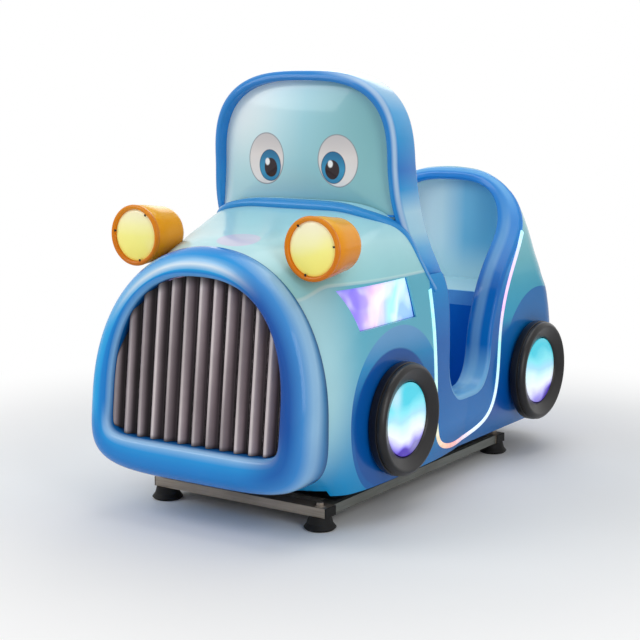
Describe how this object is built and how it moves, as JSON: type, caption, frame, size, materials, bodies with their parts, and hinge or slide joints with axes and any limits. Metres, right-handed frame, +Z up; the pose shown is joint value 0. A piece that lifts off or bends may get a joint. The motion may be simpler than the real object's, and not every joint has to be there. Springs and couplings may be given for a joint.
{
  "type": "kiddie ride machine",
  "caption": "Free-standing rocking kiddie ride: a cartoon car with windshield eyes, lamp-ringed doors and a seat, on a steel base with a motor drive.",
  "frame": {"origin": "centre of the footprint, on the floor", "axes": "+Z up, +X to the right seen from the front, the car's nose points to -Y"},
  "size_m": [0.8, 1.5406, 1.203],
  "materials": {
    "zinc_steel": "galvanised",
    "grey_steel": "satin",
    "black_steel": "satin",
    "bright_steel": "bright",
    "cast_housing": "painted",
    "motor_paint": "satin",
    "black_rubber": "matt",
    "black_plastic": "matt",
    "grey_plastic": "matt",
    "body_blue": "gloss",
    "trim_blue": "gloss",
    "nose_blue": "gloss",
    "interior_blue": "gloss",
    "floor_blue": "textured",
    "seat_teal": "gloss",
    "windshield_paint": "gloss",
    "grille_dark": "matt",
    "grille_grey": "satin",
    "lamp_orange": "gloss",
    "lamp_lens": "lit",
    "light_panel": "lit",
    "led_strip": "lit",
    "wheel_light": "lit",
    "tyre_black": "satin",
    "wheel_grip": "satin",
    "button_yellow": "gloss",
    "button_red": "gloss"
  },
  "bodies": {
    "base": {"end_rails": "zinc_steel", "side_rails": "grey_steel", "cross_members": "zinc_steel", "rail_end_caps": "black_rubber", "rubber_feet": "black_rubber", "foot_bolts": "zinc_steel", "base_plate": "black_steel", "bearing_housings": "cast_housing", "bearing_inserts": "bright_steel", "machine_bolts": "zinc_steel", "motor_mount_plate": "black_steel", "gearbox": "cast_housing", "drive_motor": "motor_paint", "power_inlet": "black_plastic"},
    "crank": {"crank_shaft": "bright_steel", "crank_pin": "bright_steel"},
    "rod": {"connecting_rod": "zinc_steel"},
    "ride": {"rod_tower": "black_steel", "rod_pivot_stub": "bright_steel", "pivot_shaft": "bright_steel", "pivot_lugs": "black_steel", "subframe": "black_steel", "front_body_shell": "body_blue", "rear_body_shell": "body_blue", "cab_hoop": "trim_blue", "dashboard": "interior_blue", "windshield_panel": "windshield_paint", "nose_surround": "nose_blue", "grille_backing": "grille_dark", "grille_ribs": "grille_grey", "headlight_shells": "lamp_orange", "headlight_lenses": "lamp_lens", "lens_clips": "black_plastic", "side_light_frames": "trim_blue", "side_light_lenses": "light_panel", "led_strips": "led_strip", "tyres": "tyre_black", "wheel_lenses": "wheel_light", "wheel_backs": "black_plastic", "entry_rim": "trim_blue", "inner_side_panels": "interior_blue", "floor_pan": "floor_blue", "seat_riser": "interior_blue", "seat_bench": "seat_teal", "seat_bucket": "seat_teal", "firewall": "interior_blue", "speaker": "black_plastic", "control_box": "grey_plastic", "column_boss": "black_plastic", "button_housing": "black_plastic", "coin_acceptor": "bright_steel", "cash_box": "zinc_steel", "body_hinge_leaf": "bright_steel"},
    "steering": {"steering_shaft": "bright_steel", "steering_wheel": "wheel_grip"},
    "horn": {"horn_button": "button_yellow"},
    "start": {"start_button": "button_red"},
    "door": {"service_door": "body_blue", "door_hinge_leaf": "bright_steel"},
    "lock": {"door_lock": "bright_steel"}
  },
  "joints": [
    {"name": "ride_rock", "type": "hinge", "parent": "base", "child": "ride", "pos_m": [0, 0, 0.11], "axis": [1, 0, 0], "range_deg": [-2.7, 2.7]},
    {"name": "crank_spin", "type": "hinge", "parent": "base", "child": "crank", "pos_m": [0.054, -0.3, 0.137], "axis": [1, 0, 0], "continuous": true},
    {"name": "rod_spin", "type": "hinge", "parent": "crank", "child": "rod", "pos_m": [0.07, -0.315, 0.137], "axis": [1, 0, 0], "continuous": true},
    {"name": "steering_spin", "type": "hinge", "parent": "ride", "child": "steering", "pos_m": [0, -0.107, 0.69], "axis": [0, 0.9272, 0.3746], "continuous": true},
    {"name": "horn_press", "type": "slide", "parent": "steering", "child": "horn", "axis": [0, -0.9272, -0.3746], "range_m": [0, 0.003], "stiffness_N_per_m": 400, "springref_m": -0.002},
    {"name": "start_press", "type": "slide", "parent": "ride", "child": "start", "axis": [0, -1, 0], "range_m": [0, 0.004], "stiffness_N_per_m": 400, "springref_m": -0.002},
    {"name": "door_swing", "type": "hinge", "parent": "ride", "child": "door", "pos_m": [-0.121, 0.7671, 0.29], "axis": [0, 0, 1], "range_deg": [0, 110]},
    {"name": "lock_turn", "type": "hinge", "parent": "door", "child": "lock", "pos_m": [0.0985, 0.763, 0.29], "axis": [0, 1, 0], "range_deg": [0, 90]}
  ],
  "couplings": [
    {"joint": "rod_spin", "follows": "crank_spin", "ratio": -1}
  ]
}
